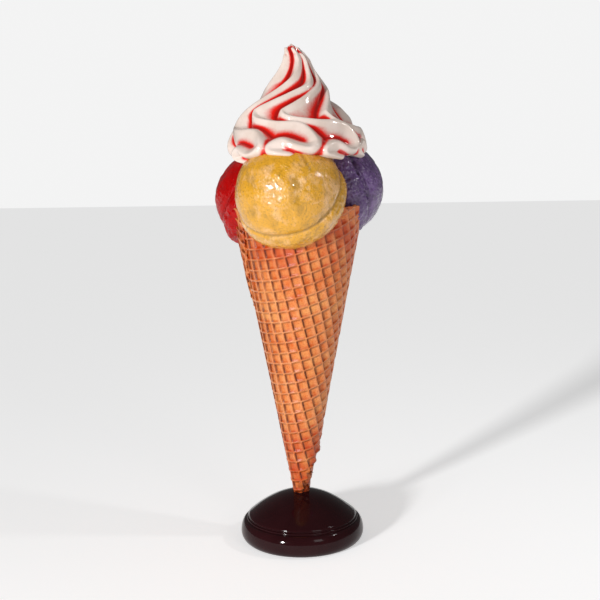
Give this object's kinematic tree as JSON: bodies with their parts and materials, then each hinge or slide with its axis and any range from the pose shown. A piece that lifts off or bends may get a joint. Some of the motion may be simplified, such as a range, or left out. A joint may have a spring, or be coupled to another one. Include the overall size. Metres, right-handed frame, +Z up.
{
  "type": "ice cream cone display model",
  "caption": "Very large rolled waffle cone on a round stand, filled with scoops of ice cream under a piped cream swirl; a painted resin display figure.",
  "frame": {"origin": "middle of the underside of the stand, on the surface it stands on", "axes": "+Z up along the cone's axis; -Y faces the viewer, towards the yellow scoop; +X to the viewer's right"},
  "size_m": [0.6143, 0.5883, 1.8],
  "materials": {
    "stand": "dark brown high-gloss enamel over moulded resin",
    "waffle": "orange-brown satin paint on moulded waffle relief, paler on the ribs",
    "ice_yellow": "mottled yellow satin varnish over fine pitted relief",
    "ice_purple": "purple satin varnish over fine pitted relief",
    "ice_red": "red varnish over fine pitted relief",
    "cream": "off-white gloss paint, airbrushed red in the creases"
  },
  "bodies": {
    "root": {"stand": "stand", "waffle_cone": "waffle", "scoop_yellow": "ice_yellow", "scoop_purple": "ice_purple", "scoop_red": "ice_red", "cream_swirl": "cream"}
  },
  "joints": []
}
